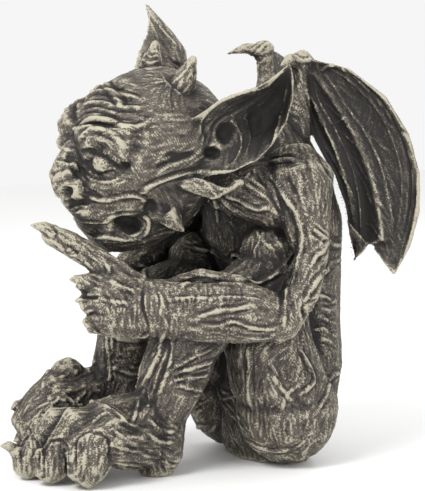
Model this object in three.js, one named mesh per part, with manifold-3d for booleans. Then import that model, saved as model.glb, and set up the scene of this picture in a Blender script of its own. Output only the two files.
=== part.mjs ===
// A seated garden gargoyle, cast in one piece. Millimetres, +Z up, +X its left side, -Y its front.
import * as THREE from "three";
import { mergeVertices } from "three/addons/utils/BufferGeometryUtils.js";
import Module from "manifold-3d";

const wasm = await Module();
wasm.setup();

// Driving dimensions
const kneeHeight = 186;
const kneeSpread = 48;
const kneeRadius = 25;
const shoulderHeight = 248;
const hipSpread = 44;
const seatRadius = 49;
const elbowHeight = 130;
const wristHeight = 142;
const headCentre = [0, -36, 270];
const headYaw = 2;
const headRoll = 10;
const earReach = 125;
const hornLength = 30;
const farEarLift = 4;
const wingWrist = { out: 30, back: 93, up: 347.5 };
const wingLean = 4.5;
const wingSpread = 45;
const wingThickness = 4.5;
const thumbReach = 27;
const curledFingers = 3;
const curledFingerGap = 17;
const claspingFingers = 4;
const claspingFingerGap = 5;
const earWall = 5;

// A closed geometry from rings that have the same number of points; both ends are fanned shut.
function skin(rings) {
  const count = rings[0].length;
  const points = rings.flat();
  const middle = (ring) => ring.reduce((sum, p) => sum.add(p), new THREE.Vector3()).divideScalar(count);
  points.push(middle(rings[0]), middle(rings[rings.length - 1]));
  const faces = [];
  const last = (rings.length - 1) * count;
  for (let i = 0; i < count; i++) {
    const j = (i + 1) % count;
    for (let r = 0; r < last; r += count) {
      faces.push(r + i, r + j, r + count + j);
      faces.push(r + i, r + count + j, r + count + i);
    }
    faces.push(points.length - 2, j, i);
    faces.push(points.length - 1, last + i, last + j);
  }
  const geometry = new THREE.BufferGeometry();
  const numbers = points.flatMap((p) => p.toArray());
  geometry.setAttribute("position", new THREE.Float32BufferAttribute(numbers, 3));
  geometry.setIndex(faces);
  return geometry;
}

// Six times the volume that a geometry encloses, below zero where its faces point in.
function signedVolume(geometry) {
  const index = geometry.index.array;
  const at = (i) => new THREE.Vector3().fromBufferAttribute(geometry.attributes.position, index[i]);
  let sum = 0;
  for (let i = 0; i < index.length; i += 3) sum += at(i).dot(at(i + 1).cross(at(i + 2)));
  return sum;
}

// A solid from any closed geometry, turned right side out and placed by a matrix.
function solid(geometry, placement = new THREE.Matrix4()) {
  const bare = new THREE.BufferGeometry();
  bare.setAttribute("position", geometry.attributes.position.clone());
  bare.setIndex(geometry.index);
  bare.applyMatrix4(placement);
  const merged = mergeVertices(bare, 1e-3);
  const faces = Array.from(merged.index.array);
  const kept = [];
  for (let i = 0; i < faces.length; i += 3) {
    const [a, b, c] = faces.slice(i, i + 3);
    if (a !== b && b !== c && c !== a) kept.push(a, b, c);
  }
  merged.setIndex(kept);
  if (signedVolume(merged) < 0) merged.setIndex(kept.reverse());
  const vertProperties = new Float32Array(merged.attributes.position.array);
  const triVerts = new Uint32Array(merged.index.array);
  return new wasm.Manifold(new wasm.Mesh({ numProp: 3, vertProperties, triVerts }));
}

// The geometry of a finished solid
function asGeometry(body) {
  const mesh = body.getMesh();
  const geometry = new THREE.BufferGeometry();
  geometry.setAttribute("position", new THREE.BufferAttribute(mesh.vertProperties, 3));
  geometry.setIndex(new THREE.BufferAttribute(mesh.triVerts, 1));
  return geometry;
}

const fuse = (solids) => solids.reduce((whole, piece) => whole.add(piece));
const mirror = new THREE.Matrix4().makeScale(-1, 1, 1);
const vector = (p) => new THREE.Vector3(p[0], p[1], p[2]);
const curveThrough = (points) => new THREE.CatmullRomCurve3(points.map(vector), false, "catmullrom", 0.5);

// A limb through stations [x, y, z, half width, half depth], the width lying along `across`.
function limb(stations, { sides = 10, steps = 1, across = [1, 0, 0] } = {}) {
  const line = curveThrough(stations);
  const size = curveThrough(stations.map((s) => [s[3], s[4], 0]));
  const rings = [];
  const total = steps * (stations.length - 1);
  const ring = (t, shrink, push) => {
    const along = line.getTangent(t);
    const wide = vector(across).addScaledVector(along, -vector(across).dot(along)).normalize();
    const deep = along.clone().cross(wide);
    const half = size.getPoint(t);
    const centre = line.getPoint(t).addScaledVector(along, push * Math.min(half.x, half.y));
    rings.push(Array.from({ length: sides }, (_, i) => {
      const angle = (2 * Math.PI * i) / sides;
      return centre.clone()
        .addScaledVector(wide, shrink * half.x * Math.cos(angle))
        .addScaledVector(deep, shrink * half.y * Math.sin(angle));
    }));
  };
  const cap = THREE.MathUtils.degToRad(55);
  ring(0, Math.cos(cap), -Math.sin(cap));
  for (let i = 0; i <= total; i++) ring(i / total, 1, 0);
  ring(1, Math.cos(cap), Math.sin(cap));
  return skin(rings);
}

// An egg-shaped lump: centre, three half sizes, turns in degrees about X, Y and Z.
function lump(centre, half, turn = [0, 0, 0], around = 8, tall = 6) {
  const geometry = new THREE.SphereGeometry(1, around, tall);
  const euler = new THREE.Euler(...turn.map(THREE.MathUtils.degToRad));
  const placement = new THREE.Matrix4().compose(
    vector(centre), new THREE.Quaternion().setFromEuler(euler), vector(half));
  return geometry.applyMatrix4(placement);
}

// A claw or spike: a curved cone from a base to a tip, bowed by `bow`
function claw(base, tip, radius, bow = [0, 0, 0], sides = 5) {
  const half = base.map((v, i) => (v + tip[i]) / 2 + bow[i]);
  const along = vector(tip).sub(vector(base)).normalize();
  const wide = new THREE.Vector3(1, 0, 0).addScaledVector(along, -along.x).normalize();
  const deep = along.clone().cross(wide);
  const ring = (centre, reach) => Array.from({ length: sides }, (_, i) => {
    const angle = (2 * Math.PI * i) / sides;
    return vector(centre)
      .addScaledVector(wide, reach * Math.cos(angle))
      .addScaledVector(deep, reach * Math.sin(angle));
  });
  return skin([ring(base, radius), ring(half, 0.72 * radius), ring(tip, 0.14 * radius)]);
}

// Torso, neck and buttocks
function torso() {
  const trunk = limb([
    [0, 80, 14, 58, 38], [0, 84, 50, 76, 45], [0, 92, 88, 72, 47], [0, 94, 125, 64, 45],
    [0, 92, 160, 66, 48], [0, 84, 200, 74, 56], [0, 76, shoulderHeight - 8, 72, 50],
    [0, 66, 280, 46, 34]], { sides: 14 });
  const neck = limb([[0, 90, 240, 54, 46], [0, 50, 262, 50, 46], [0, 6, 268, 46, 46]]);
  const parts = [solid(trunk), solid(neck)];
  for (const side of [1, -1]) {
    const half = [42, seatRadius - 4, seatRadius];
    const buttock = lump([side * hipSpread, 73, seatRadius], half, [0, 0, 0], 12, 8);
    const breast = limb([
      [side * 26, 16, 248, 24, 26], [side * 48, 36, 240, 24, 28], [side * 66, 54, 226, 22, 24]]);
    parts.push(solid(buttock), solid(breast));
  }
  return fuse(parts);
}

// A thigh from hip to knee, with a round kneecap
function thigh(side) {
  const knee = side > 0 ? [kneeSpread, 53, kneeHeight] : [-kneeSpread - 4, 38, kneeHeight - 16];
  const bulk = limb([
    [side * 46, 76, 52, 38, 40], [side * 48, 60, 82, 40, 43], [side * 50, 50, 108, 38, 39],
    [knee[0], knee[1] + 1, knee[2] - 34, 29, 29], [...knee, kneeRadius - 1, kneeRadius - 2]]);
  const cap = lump(knee, [kneeRadius, kneeRadius, kneeRadius], [0, 0, 0], 11, 7);
  return fuse([solid(bulk), solid(cap)]);
}

// Shins from knee to heel; the feet stand a little to the figure's right of the knees.
const shinPath = {
  near: [[48, 44, 168, 21, 22], [46, 8, 141, 23, 23], [40, -23, 116, 30, 31], [32, -34, 80, 27, 30],
    [26, -42, 48, 21, 23], [24, -43, 14, 20, 22]],
  far: [[-48, 34, 154, 25, 24], [-56, 2, 138, 27, 28], [-64, -26, 110, 26, 27], [-68, -30, 78, 23, 25],
    [-72, -40, 46, 20, 22], [-72, -42, 14, 20, 22]],
};

// The wedge of each foot, from heel to ball
const footPath = {
  near: [[24, -44, 20, 20, 20], [26, -66, 40, 26, 36], [24, -92, 40, 40, 28], [20, -112, 34, 38, 22]],
  far: [[-72, -44, 20, 20, 20], [-74, -62, 46, 24, 38], [-76, -86, 44, 32, 34], [-80, -104, 34, 32, 24]],
};

// Toes: knuckle, pad on the ground, radius, and the tip of the nail or claw
const toes = {
  near: [
    {
      root: [36, -82, 44], knuckle: [43, -104, 39], pad: [42, -118, 17],
      radius: 17, nail: [44, -134, 25],
    },
    {
      root: [24, -90, 48], knuckle: [24, -117, 53], pad: [15, -137, 14],
      radius: 14, nail: [13, -153, 24],
    },
    {
      root: [6, -92, 46], knuckle: [0, -125, 51], pad: [-13, -145, 11],
      radius: 11.5, nail: [-18, -159, 22],
    },
    {
      root: [-10, -92, 38], knuckle: [-22, -128, 38], pad: [-32, -138, 9],
      radius: 12, nail: [-34, -161, 26],
    },
  ],
  far: [
    {
      root: [-60, -78, 54], knuckle: [-62, -94, 58], pad: [-66, -98, 43],
      radius: 12, nail: [-75, -112, 42],
    },
    {
      root: [-78, -78, 50], knuckle: [-82, -100, 55], pad: [-86, -107, 40],
      radius: 12, nail: [-95, -125, 43],
    },
    {
      root: [-90, -74, 36], knuckle: [-98, -94, 32], pad: [-102, -102, 9],
      radius: 12, nail: [-105, -117, 12],
    },
    {
      root: [-50, -80, 30], knuckle: [-54, -106, 26], pad: [-58, -114, 9],
      radius: 12, nail: [-62, -130, 12],
    },
  ],
};

// A clawed foot: the wedge from heel to ball, then its toes
function foot(name) {
  const parts = [solid(limb(footPath[name])), solid(limb(shinPath[name]))];
  for (const { root, knuckle, pad, radius, nail } of toes[name]) {
    const toe = limb([
      [...root, radius, radius], [...knuckle, radius * 1.05, radius],
      [...pad, radius, radius * 1.1]], { sides: 7 });
    parts.push(solid(toe));
    const base = pad.map((v, i) => v + (nail[i] - v) * 0.35);
    base[2] += radius * 0.35;
    parts.push(solid(claw(base, nail, radius * 0.62, [0, 0, 3])));
  }
  if (name === "far") parts.push(solid(lump([-76, -78, 74], [13, 16, 14])));
  return fuse(parts);
}

// Left arm: down outside the knee, then forward across the shins to the pointing hand
function leftArm() {
  const upper = limb([
    [66, 68, shoulderHeight - 2, 32, 32], [81, 66, 217, 21, 22], [91, 67, 186, 15, 13],
    [96, 56, 156, 14, 13], [93, 34, elbowHeight, 16, 17]], { sides: 12 });
  const fore = limb([[93, 36, 134, 15, 19], [84, 10, 140, 21, 25], [66, -24, wristHeight - 2, 18, 25],
    [44, -58, wristHeight, 14, 24], [36, -68, wristHeight + 2, 13, 24]], { sides: 12 });
  const palm = limb([
    [42, -60, wristHeight, 13, 24], [28, -82, wristHeight + 4, 14, 28], [18, -92, wristHeight + 4, 12, 26]]);
  const parts = [upper, fore, palm];
  parts.push(limb([
    [34, -62, 154, 13, 14], [20, -76, 169, 11.5, 13], [4, -94, 185, 10, 11], [-4, -110, 196, 10, 11],
    [-9, -124, 203, 8.5, 9]], { sides: 7 }));
  parts.push(claw([-8, -121, 204], [-12, -142, 212], 7.5, [0, 0, 2]));
  for (let k = 0; k < curledFingers; k++) {
    const up = wristHeight + 22 - k * curledFingerGap;
    const reach = -104 + k * 3;
    parts.push(limb([
      [20, -84, up, 9, 9], [6 + k * 4, reach, up - 1, 8.5, 9],
      [-8 + k * 5, reach + 12, up - 3, 8, 8.5], [-6 + k * 5, reach + 26, up - 4, 7, 8]], { sides: 6 }));
    parts.push(claw([6 + k * 4, reach + 2, up], [2 + k * 5, reach - 10, up + 2], 6.5, [0, 0, 2]));
  }
  return fuse(parts.map((part) => solid(part)));
}

// Right arm: wraps round the far knee, its hand lying on the left forearm
function rightArm() {
  const upper = limb([[-66, 64, shoulderHeight - 2, 32, 32], [-79, 46, 216, 26, 27], [-88, 20, 184, 21, 21],
    [-94, -6, 156, 18, 18], [-92, -20, 144, 18, 18]]);
  const fore = limb([
    [-94, -16, 146, 18, 18], [-66, -38, 142, 18, 20], [-30, -46, 142, 17, 19], [8, -36, 146, 15, 17],
    [34, -24, 150, 12, 15]], { across: [0, 1, 0] });
  const parts = [upper, fore];
  for (let k = 0; k < claspingFingers; k++) {
    const up = wristHeight + 27 - k * claspingFingerGap;
    const out = -18 + k * 2 - (k > 1 ? 6 : 0);
    parts.push(limb([
      [28, out - 8, up - 8, 7, 7], [50, out + 4, up, 6.5, 6],
      [76, out + 24, up - 3 - k * 2, 5.5, 5]], { sides: 6, across: [0, 1, 0] }));
  }
  return fuse(parts.map((part) => solid(part)));
}

// Head sections in the head's own frame (left, back, up): height, half width, front, back, and how round
// the front is, from 0.5 for a square face to 1
const headRows = [
  [-84, 10, -42, -18, 0.8], [-76, 28, -48, 4, 0.7], [-62, 42, -54, 24, 0.6], [-46, 50, -60, 40, 0.55],
  [-28, 56, -66, 50, 0.55], [-8, 60, -69, 58, 0.55], [12, 63, -70, 62, 0.55], [30, 60, -63, 60, 0.65],
  [46, 52, -44, 52, 0.8], [60, 37, -25, 38, 0.9], [69, 14, -6, 18, 0.9]];

// Dabs of clay on each half of the face: where, how far each pushes, and its reach
const headDabs = [
  { at: [12, -70, 19], by: [0, -10, 0], reach: 16 },
  { at: [30, -67, 18], by: [2, -9, 0], reach: 17 },
  { at: [50, -54, 20], by: [4, -5, 0], reach: 16 },
  { at: [14, -62, 42], by: [0, -5, 2], reach: 16 },
  { at: [38, -66, 1], by: [-3, 12, 0], reach: 16 },
  { at: [54, -50, -2], by: [-3, 5, 0], reach: 10 },
  { at: [46, -60, -16], by: [3, -4, 0], reach: 14 },
  { at: [63, -14, -4], by: [4, 0, 0], reach: 15 },
  { at: [0, -66, -46], by: [0, -15, 0], reach: 24 },
  { at: [22, -60, -46], by: [2, -9, 0], reach: 18 },
  { at: [46, -40, -53], by: [-12, 13, 0], reach: 16 },
  { at: [8, -58, -68], by: [0, -9, 2], reach: 15 },
  { at: [30, -50, -70], by: [3, -6, 0], reach: 14 },
  { at: [57, -22, -34], by: [-6, 3, 0], reach: 13 },
];

// A skull of level rings, closer together round the face, then pushed about by the dabs
function skull() {
  const rows = curveThrough(headRows.map(([, half, front, back]) => [half, front, back]));
  const levels = curveThrough(headRows.map(([height, , , , roundness]) => [height, roundness, 0]));
  const around = 24;
  const tall = 17;
  const curved = (v, power) => Math.sign(v) * Math.abs(v) ** power;
  const rings = [];
  for (let i = 0; i <= tall; i++) {
    const { x: half, y: front, z: back } = rows.getPoint(i / tall);
    const { x: up, y: roundness } = levels.getPoint(i / tall);
    rings.push(Array.from({ length: around }, (_, k) => {
      const turn = (2 * Math.PI * k) / around;
      const angle = turn - 0.35 * Math.sin(turn);
      const ahead = curved(Math.cos(angle), Math.cos(angle) > 0 ? roundness : 0.9);
      return new THREE.Vector3(
        half * curved(Math.sin(angle), 0.74), (front + back) / 2 + ((front - back) / 2) * ahead, up);
    }));
  }
  for (const { at, by, reach } of headDabs) {
    for (const side of [1, -1]) {
      const centre = new THREE.Vector3(side * at[0], at[1], at[2]);
      for (const p of rings.flat()) {
        const near = Math.max(0, 1 - p.distanceToSquared(centre) / (reach * reach)) ** 2;
        p.add(new THREE.Vector3(side * by[0], by[1], by[2]).multiplyScalar(near * (at[0] < 1 ? 0.5 : 1)));
      }
    }
  }
  return solid(skin(rings));
}

// Nose, nostril wings and eyeballs
function nose() {
  const bridge = limb([[0, -58, 16, 9, 8], [0, -70, 0, 12, 11], [0, -74, -16, 16, 14], [0, -75, -28, 15, 12]]);
  const parts = [bridge];
  for (const side of [1, -1]) {
    parts.push(lump([side * 15, -69, -25], [11, 13, 11]));
    parts.push(lump([side * 36, -55, 1], [13, 13, 12]));
  }
  return fuse(parts.map((part) => solid(part)));
}

// A leaf-shaped ear: stations give the upper rim, the lower rim, and how deep the leaf is cupped
function ear() {
  const stations = [
    [[54, 4, 36], [52, 6, -12], 2], [[70, 16, 51], [72, 26, -5], 15], [[80, 24, 61], [82, 50, 5], 24],
    [[92, 35, 68], [92, 62, 22], 28], [[102, 44, 76], [106, 68, 50], 22], [[113, 50, 86], [118, 62, 76], 7],
    [[earReach - 1, 52, 97], [earReach, 55, 95], 1]];
  const face = new THREE.Vector3(0.69, -0.69, -0.22).normalize();
  const across = 4;
  const upper = curveThrough(stations.map(([rim]) => rim));
  const lower = curveThrough(stations.map(([, rim]) => rim));
  const cup = curveThrough(stations.map(([, , depth]) => [depth, 0, 0]));
  const rings = [];
  const total = 8;
  for (let i = 0; i <= total; i++) {
    const top = upper.getPoint(i / total);
    const bottom = lower.getPoint(i / total);
    const depth = cup.getPoint(i / total).x;
    const thick = i === total ? 0.3 * earWall : earWall;
    const ring = [];
    for (let k = 0; k <= across; k++) {
      const sag = depth * Math.sin((Math.PI * k) / across) ** 0.7;
      ring.push(top.clone().lerp(bottom, k / across).addScaledVector(face, -sag));
    }
    for (let k = across; k >= 0; k--) {
      const sag = depth * Math.sin((Math.PI * k) / across) ** 0.7 + thick;
      ring.push(top.clone().lerp(bottom, k / across).addScaledVector(face, -sag));
    }
    rings.push(ring);
  }
  return skin(rings);
}

// Ears, horns and jaw spikes, on both sides of the head
function headTrim() {
  const parts = [];
  for (const side of [new THREE.Matrix4(), mirror]) {
    const lift = THREE.MathUtils.degToRad(side === mirror ? farEarLift : 0);
    const raised = new THREE.Matrix4().makeRotationFromEuler(new THREE.Euler(0, -lift, -lift));
    parts.push(solid(ear(), side.clone().multiply(raised)));
    const hornLine = [[28, 8, 50, 16, 15], [31, 11, 66, 11, 10], [35, 15, 54 + hornLength, 4, 4]];
    const horn = limb(hornLine, { sides: 8 });
    const jawSpike = claw([46, -4, -42], [55, 9, -56], 11, [1, -1, 0]);
    const lobe = limb([[58, 4, -12, 6, 8], [66, 28, -20, 5, 8], [74, 48, -11, 3, 4]], { sides: 6 });
    parts.push(solid(horn, side), solid(jawSpike, side), solid(lobe, side));
  }
  return fuse(parts);
}

function head() {
  const placement = new THREE.Matrix4()
    .makeRotationZ(THREE.MathUtils.degToRad(-headYaw))
    .multiply(new THREE.Matrix4().makeRotationY(THREE.MathUtils.degToRad(headRoll)))
    .setPosition(...headCentre);
  return solid(asGeometry(fuse([skull(), nose(), headTrim()])), placement);
}

// Wing fingers as [outwards, upwards] from the wing's wrist
const wingFingers = [
  [[4, 4], [46, -7], [80, -38], [98, -78], [103, -116], [97, -152], [83, -180]],
  [[3, 1], [26, -30], [50, -72], [65, -112], [73, -150]],
  [[1, 0], [10, -34], [27, -70], [41, -112], [47, -146], [46, -173]],
  [[-3, 0], [-2, -34], [12, -70], [30, -100], [42, -134]],
];

// One wing: finger bones, the scalloped membrane between them, the arm from the back and a thumb claw
function wing(side) {
  const wrist = new THREE.Vector3(side * wingWrist.out, wingWrist.back, wingWrist.up - side * wingLean);
  const turn = THREE.MathUtils.degToRad(wingSpread);
  const out = new THREE.Vector3(side * Math.sin(turn), Math.cos(turn), 0);
  const front = new THREE.Vector3(side * Math.cos(turn), -Math.sin(turn), 0);
  const place = (along, up, lift) => wrist.clone()
    .addScaledVector(out, along)
    .addScaledVector(front, lift)
    .setZ(wrist.z + up);
  const curves = wingFingers.map((finger) => {
    const points = finger.map((p) => new THREE.Vector2(...p));
    return new THREE.SplineCurve(points);
  });
  const belly = (r) => -14 * Math.sin(Math.PI * r);
  const scallop = [0.1, 0.13, 0.02];
  const boneHalf = [5, 4, 4, 3.5];
  const sheetHalf = wingThickness / 2;
  const columns = [];
  scallop.forEach((_, f) => columns.push([f, 0], [f, 0.16], [f, 0.5], [f, 0.84]));
  columns.push([scallop.length - 1, 1]);
  const along = 7;
  const rings = [];
  for (let i = 0; i <= along; i++) {
    const reach = Math.max(0.03, i / along);
    const faces = [1, -1].map((front) => columns.map(([f, t]) => {
      const r = reach * (1 - scallop[f] * Math.sin(Math.PI * t));
      const p = curves[f].getPoint(r).lerp(curves[f + 1].getPoint(r), t);
      const sag = belly(r) - 5 * Math.sin(Math.PI * t) * Math.min(1, 3 * r);
      const half = t === 0 || t === 1 ? boneHalf[f + t] * (1 - 0.4 * r) : sheetHalf;
      return place(p.x, p.y, sag + front * half);
    }));
    rings.push([...faces[0], ...faces[1].reverse()]);
  }
  const parts = [skin(rings)];
  parts.push(limb([
    [side * 22, 92, 258, 16, 16], [side * 26, 94, 296, 10, 11],
    [...place(0, -16, -2).toArray(), 7, 8], [...place(1, 0, 0).toArray(), 8, 8]], { sides: 8 }));
  parts.push(lump(place(2, 2, 0).toArray(), [9, 10, 9]));
  const thumb = place(-2, 0, 0).toArray();
  parts.push(claw(thumb, [side * 45, thumb[1] - thumbReach, thumb[2] - 2], 7.5, [0, 0, 4]));
  return fuse(parts.map((part) => solid(part)));
}

// The whole casting, cut flat where it stands
function gargoyle() {
  const legs = [thigh(1), thigh(-1), foot("near"), foot("far")];
  const parts = [torso(), ...legs, leftArm(), rightArm(), head(), wing(1), wing(-1)];
  const ground = new THREE.BoxGeometry(800, 800, 100);
  return fuse(parts).subtract(solid(ground, new THREE.Matrix4().makeTranslation(0, 0, -50)));
}

// The statue stands on z = 0, with the origin under the middle of its box.
const geometry = asGeometry(gargoyle());
geometry.computeVertexNormals();
geometry.computeBoundingBox();
const middle = geometry.boundingBox.getCenter(new THREE.Vector3());
const resin = new THREE.MeshStandardMaterial({ color: 0x55503f, roughness: 0.75, metalness: 0 });
const statue = new THREE.Mesh(geometry, resin);
statue.name = "gargoyle";
statue.position.set(-middle.x, -middle.y, 0);
const root = new THREE.Group();
root.add(statue);

export default root;
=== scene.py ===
# Seated winged gargoyle, one resin casting with a dry-brushed stone finish.
# The imported solid is copied, remeshed and carved, then coloured by how each spot stands out, with painted shade
# where it is closed in.
import bpy
import bmesh
import math
import numpy as np
from mathutils import Vector, Matrix
from mathutils.bvhtree import BVHTree
from mathutils.kdtree import KDTree


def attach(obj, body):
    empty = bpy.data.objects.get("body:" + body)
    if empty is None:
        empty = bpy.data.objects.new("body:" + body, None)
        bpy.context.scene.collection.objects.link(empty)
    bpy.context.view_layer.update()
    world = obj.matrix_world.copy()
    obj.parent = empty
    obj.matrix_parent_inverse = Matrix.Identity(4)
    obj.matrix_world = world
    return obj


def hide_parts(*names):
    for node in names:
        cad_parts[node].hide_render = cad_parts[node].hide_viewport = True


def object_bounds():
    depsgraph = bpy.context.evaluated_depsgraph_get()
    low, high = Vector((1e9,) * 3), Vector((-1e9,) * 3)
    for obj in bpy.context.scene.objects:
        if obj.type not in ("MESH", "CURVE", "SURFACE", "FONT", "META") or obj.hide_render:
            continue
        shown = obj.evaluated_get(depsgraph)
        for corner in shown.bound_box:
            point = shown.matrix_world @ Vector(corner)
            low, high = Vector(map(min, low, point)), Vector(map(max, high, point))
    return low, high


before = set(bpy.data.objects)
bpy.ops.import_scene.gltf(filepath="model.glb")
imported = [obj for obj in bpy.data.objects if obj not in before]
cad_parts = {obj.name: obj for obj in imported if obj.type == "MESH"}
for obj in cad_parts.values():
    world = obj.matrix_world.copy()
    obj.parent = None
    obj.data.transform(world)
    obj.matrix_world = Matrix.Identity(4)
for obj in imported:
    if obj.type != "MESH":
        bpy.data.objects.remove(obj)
cadLow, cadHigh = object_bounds()
mm = 0.001

# Camera, set by the statue's place in the photograph
camera = dict(target=(-3.25, 10.0, 188.5), azimuth=60, elevation=6, distance=1700, lens=146.6, sensor=36,
              width=425, height=491, nearest=0.1, farthest=50)


def addCamera():
    around, above = math.radians(camera["azimuth"]), math.radians(camera["elevation"])
    back = Vector((math.sin(around) * math.cos(above), -math.cos(around) * math.cos(above), math.sin(above)))
    data = bpy.data.cameras.new("photoCamera")
    data.lens = camera["lens"]
    data.sensor_width = camera["sensor"]
    data.clip_start = camera["nearest"]
    data.clip_end = camera["farthest"]
    obj = bpy.data.objects.new("photoCamera", data)
    bpy.context.collection.objects.link(obj)
    obj.location = (Vector(camera["target"]) + back * camera["distance"]) * mm
    obj.rotation_euler = back.to_track_quat("Z", "Y").to_euler()
    bpy.context.scene.camera = obj
    right = Vector((math.cos(around), math.sin(around), 0))
    return obj.location.copy(), right, back.cross(right), back


eye, viewRight, viewUp, viewBack = addCamera()
focal = camera["lens"] / camera["sensor"] * camera["height"]


# Direction from the camera through a spot of the photograph, in pixels
def lookAt(x, y):
    across = (x - camera["width"] / 2) / focal
    upward = (camera["height"] / 2 - y) / focal
    return (viewRight * across + viewUp * upward - viewBack).normalized()


def selectOnly(*objs):
    bpy.ops.object.select_all(action="DESELECT")
    for obj in objs:
        obj.select_set(True)
    bpy.context.view_layer.objects.active = objs[0]


# The head's own frame: left, back, up, from its middle
headMiddle = Vector((-13.75, -43.9, 270))
headTurn = (Matrix.Rotation(math.radians(-2), 3, "Z") @ Matrix.Rotation(math.radians(10), 3, "Y"))


def onHead(left, back, up):
    return headTurn @ Vector((left, back, up)) + headMiddle


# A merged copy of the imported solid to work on
def copyCasting():
    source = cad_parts["gargoyle"]
    obj = bpy.data.objects.new("casting", source.data.copy())
    bpy.context.collection.objects.link(obj)
    obj.data.transform(source.matrix_world)
    obj.data.materials.clear()
    selectOnly(obj)
    bpy.ops.object.mode_set(mode="EDIT")
    bpy.ops.mesh.select_all(action="SELECT")
    bpy.ops.mesh.remove_doubles(threshold=1e-6)
    bpy.ops.object.mode_set(mode="OBJECT")
    return obj


casting = copyCasting()
print("casting copied:", len(casting.data.vertices), "vertices")

# Remeshing and relief, in millimetres
sculpt = dict(voxel=1.2, settle=10, giveBack=0.52, swell=0.35, swellSpread=24, mostStroke=3.6, spike=0.9,
              spikeRounds=10, seed=7)


def remesh(obj, size):
    selectOnly(obj)
    modifier = obj.modifiers.new("remesh", "REMESH")
    modifier.mode = "VOXEL"
    modifier.voxel_size = size * mm
    modifier.adaptivity = 0
    bpy.ops.object.modifier_apply(modifier=modifier.name)


remesh(casting, sculpt["voxel"])
print("remeshed:", len(casting.data.vertices), "vertices")


# Working arrays of the sculpture, millimetres
class Clay:
    def __init__(self, obj):
        mesh = obj.data
        count = len(mesh.vertices)
        flat = np.empty(count * 3, dtype=np.float32)
        mesh.vertices.foreach_get("co", flat)
        self.obj = obj
        self.place = flat.reshape(-1, 3).astype(np.float64) / mm
        pairs = np.empty(len(mesh.edges) * 2, dtype=np.int32)
        mesh.edges.foreach_get("vertices", pairs)
        pairs = pairs.reshape(-1, 2)
        self.start = np.concatenate([pairs[:, 0], pairs[:, 1]])
        self.end = np.concatenate([pairs[:, 1], pairs[:, 0]])
        self.links = np.bincount(self.start, minlength=count).astype(np.float64)
        self.corners = np.empty(len(mesh.loops), dtype=np.int32)
        mesh.loops.foreach_get("vertex_index", self.corners)
        self.faceStart = np.empty(len(mesh.polygons), dtype=np.int32)
        mesh.polygons.foreach_get("loop_start", self.faceStart)
        self.refresh()

    def refresh(self):
        a = self.place[self.corners[self.faceStart]]
        b = self.place[self.corners[self.faceStart + 1]]
        c = self.place[self.corners[self.faceStart + 2]]
        d = self.place[self.corners[self.faceStart + 3]]
        normals = np.cross(c - a, d - b)
        total = np.zeros_like(self.place)
        for k in range(4):
            spots = self.corners[self.faceStart + k]
            for axis in range(3):
                total[:, axis] += np.bincount(spots, weights=normals[:, axis], minlength=len(total))
        self.normal = total / np.maximum(np.linalg.norm(total, axis=1, keepdims=True), 1e-12)

    def average(self, values):
        if values.ndim == 1:
            return np.bincount(self.start, weights=values[self.end], minlength=len(values)) / self.links
        return np.stack([self.average(values[:, k]) for k in range(values.shape[1])], axis=1)

    def smooth(self, times, strength=0.5):
        for _ in range(times):
            self.place += strength * (self.average(self.place) - self.place)
            self.place -= sculpt["giveBack"] * strength * (self.average(self.place) - self.place)
        self.refresh()

    def write(self):
        self.obj.data.vertices.foreach_set("co", (self.place * mm).astype(np.float32).ravel())
        self.obj.data.update()


clay = Clay(casting)
clay.smooth(sculpt["settle"])
clay.write()
print("facets settled")


# The surface that strokes land on
class Surface:
    def __init__(self, obj):
        mesh = bmesh.new()
        mesh.from_mesh(obj.data)
        self.tree = BVHTree.FromBMesh(mesh)
        mesh.free()

    def seen(self, x, y):
        place, normal, _, _ = self.tree.ray_cast(eye, lookAt(x, y))
        return None if place is None else (place / mm, normal)

    def nearest(self, spot, within=14):
        place, normal, _, gap = self.tree.find_nearest(Vector(spot) * mm)
        return None if place is None or gap > within * mm else (place / mm, normal)


surface = Surface(casting)


def mirrorHead(spot):
    local = headTurn.inverted() @ (Vector(spot) - headMiddle)
    return onHead(-local.x, local.y, local.z)


def mirrorBody(spot):
    return Vector((-27.5 - spot[0], spot[1], spot[2]))


mirrors = {"head": mirrorHead, "body": mirrorBody}
leastApart = {"head": 46, "body": 20}  # a line and its mirror image, in millimetres

# How strokes are laid: step in pixels, jump and width in millimetres, tapered ends, uneven depth
laying = dict(step=1.5, jump=7, reach=2.4, taper=6, thinnest=0.08, uneven=0.14, waves=11)


# A line through spots of the photograph, laid on the surface, cut wherever it would jump to something behind
def layOnSurface(spots):
    lines, line = [], []
    for (xa, ya), (xb, yb) in zip(spots, spots[1:]):
        steps = max(2, int(math.hypot(xb - xa, yb - ya) / laying["step"]))
        for k in range(steps):
            hit = surface.seen(xa + (xb - xa) * k / steps, ya + (yb - ya) * k / steps)
            if hit is None or (line and (hit[0] - line[-1][0]).length > laying["jump"]):
                lines.append(line)
                line = []
            if hit is not None:
                line.append(hit)
    lines.append(line)
    return [found for found in lines if len(found) > 2]


# The same line on the other side, left out near the middle where it would double the first
def mirrorLine(line, kind):
    pairs = [(place, mirrors[kind](place)) for place, _ in line]
    found = [surface.nearest(other) for place, other in pairs
             if (Vector(place) - Vector(other)).length > leastApart[kind]]
    return [hit for hit in found if hit is not None]


# Soft curve through a few spots
def between(a, b, c, d, t):
    bow = 2 * a - 5 * b + 4 * c - d
    twist = 3 * b - a - 3 * c + d
    return 0.5 * (2 * b + (c - a) * t + bow * t * t + twist * t ** 3)


def curved(spots, steps=6):
    if len(spots) < 3:
        return spots
    padded = [spots[0], *spots, spots[-1]]
    result = []
    for a, b, c, d in zip(padded, padded[1:], padded[2:], padded[3:]):
        for k in range(steps):
            t = k / steps
            result.append(tuple(between(*four, t) for four in zip(a, b, c, d)))
    return result + [spots[-1]]


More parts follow.
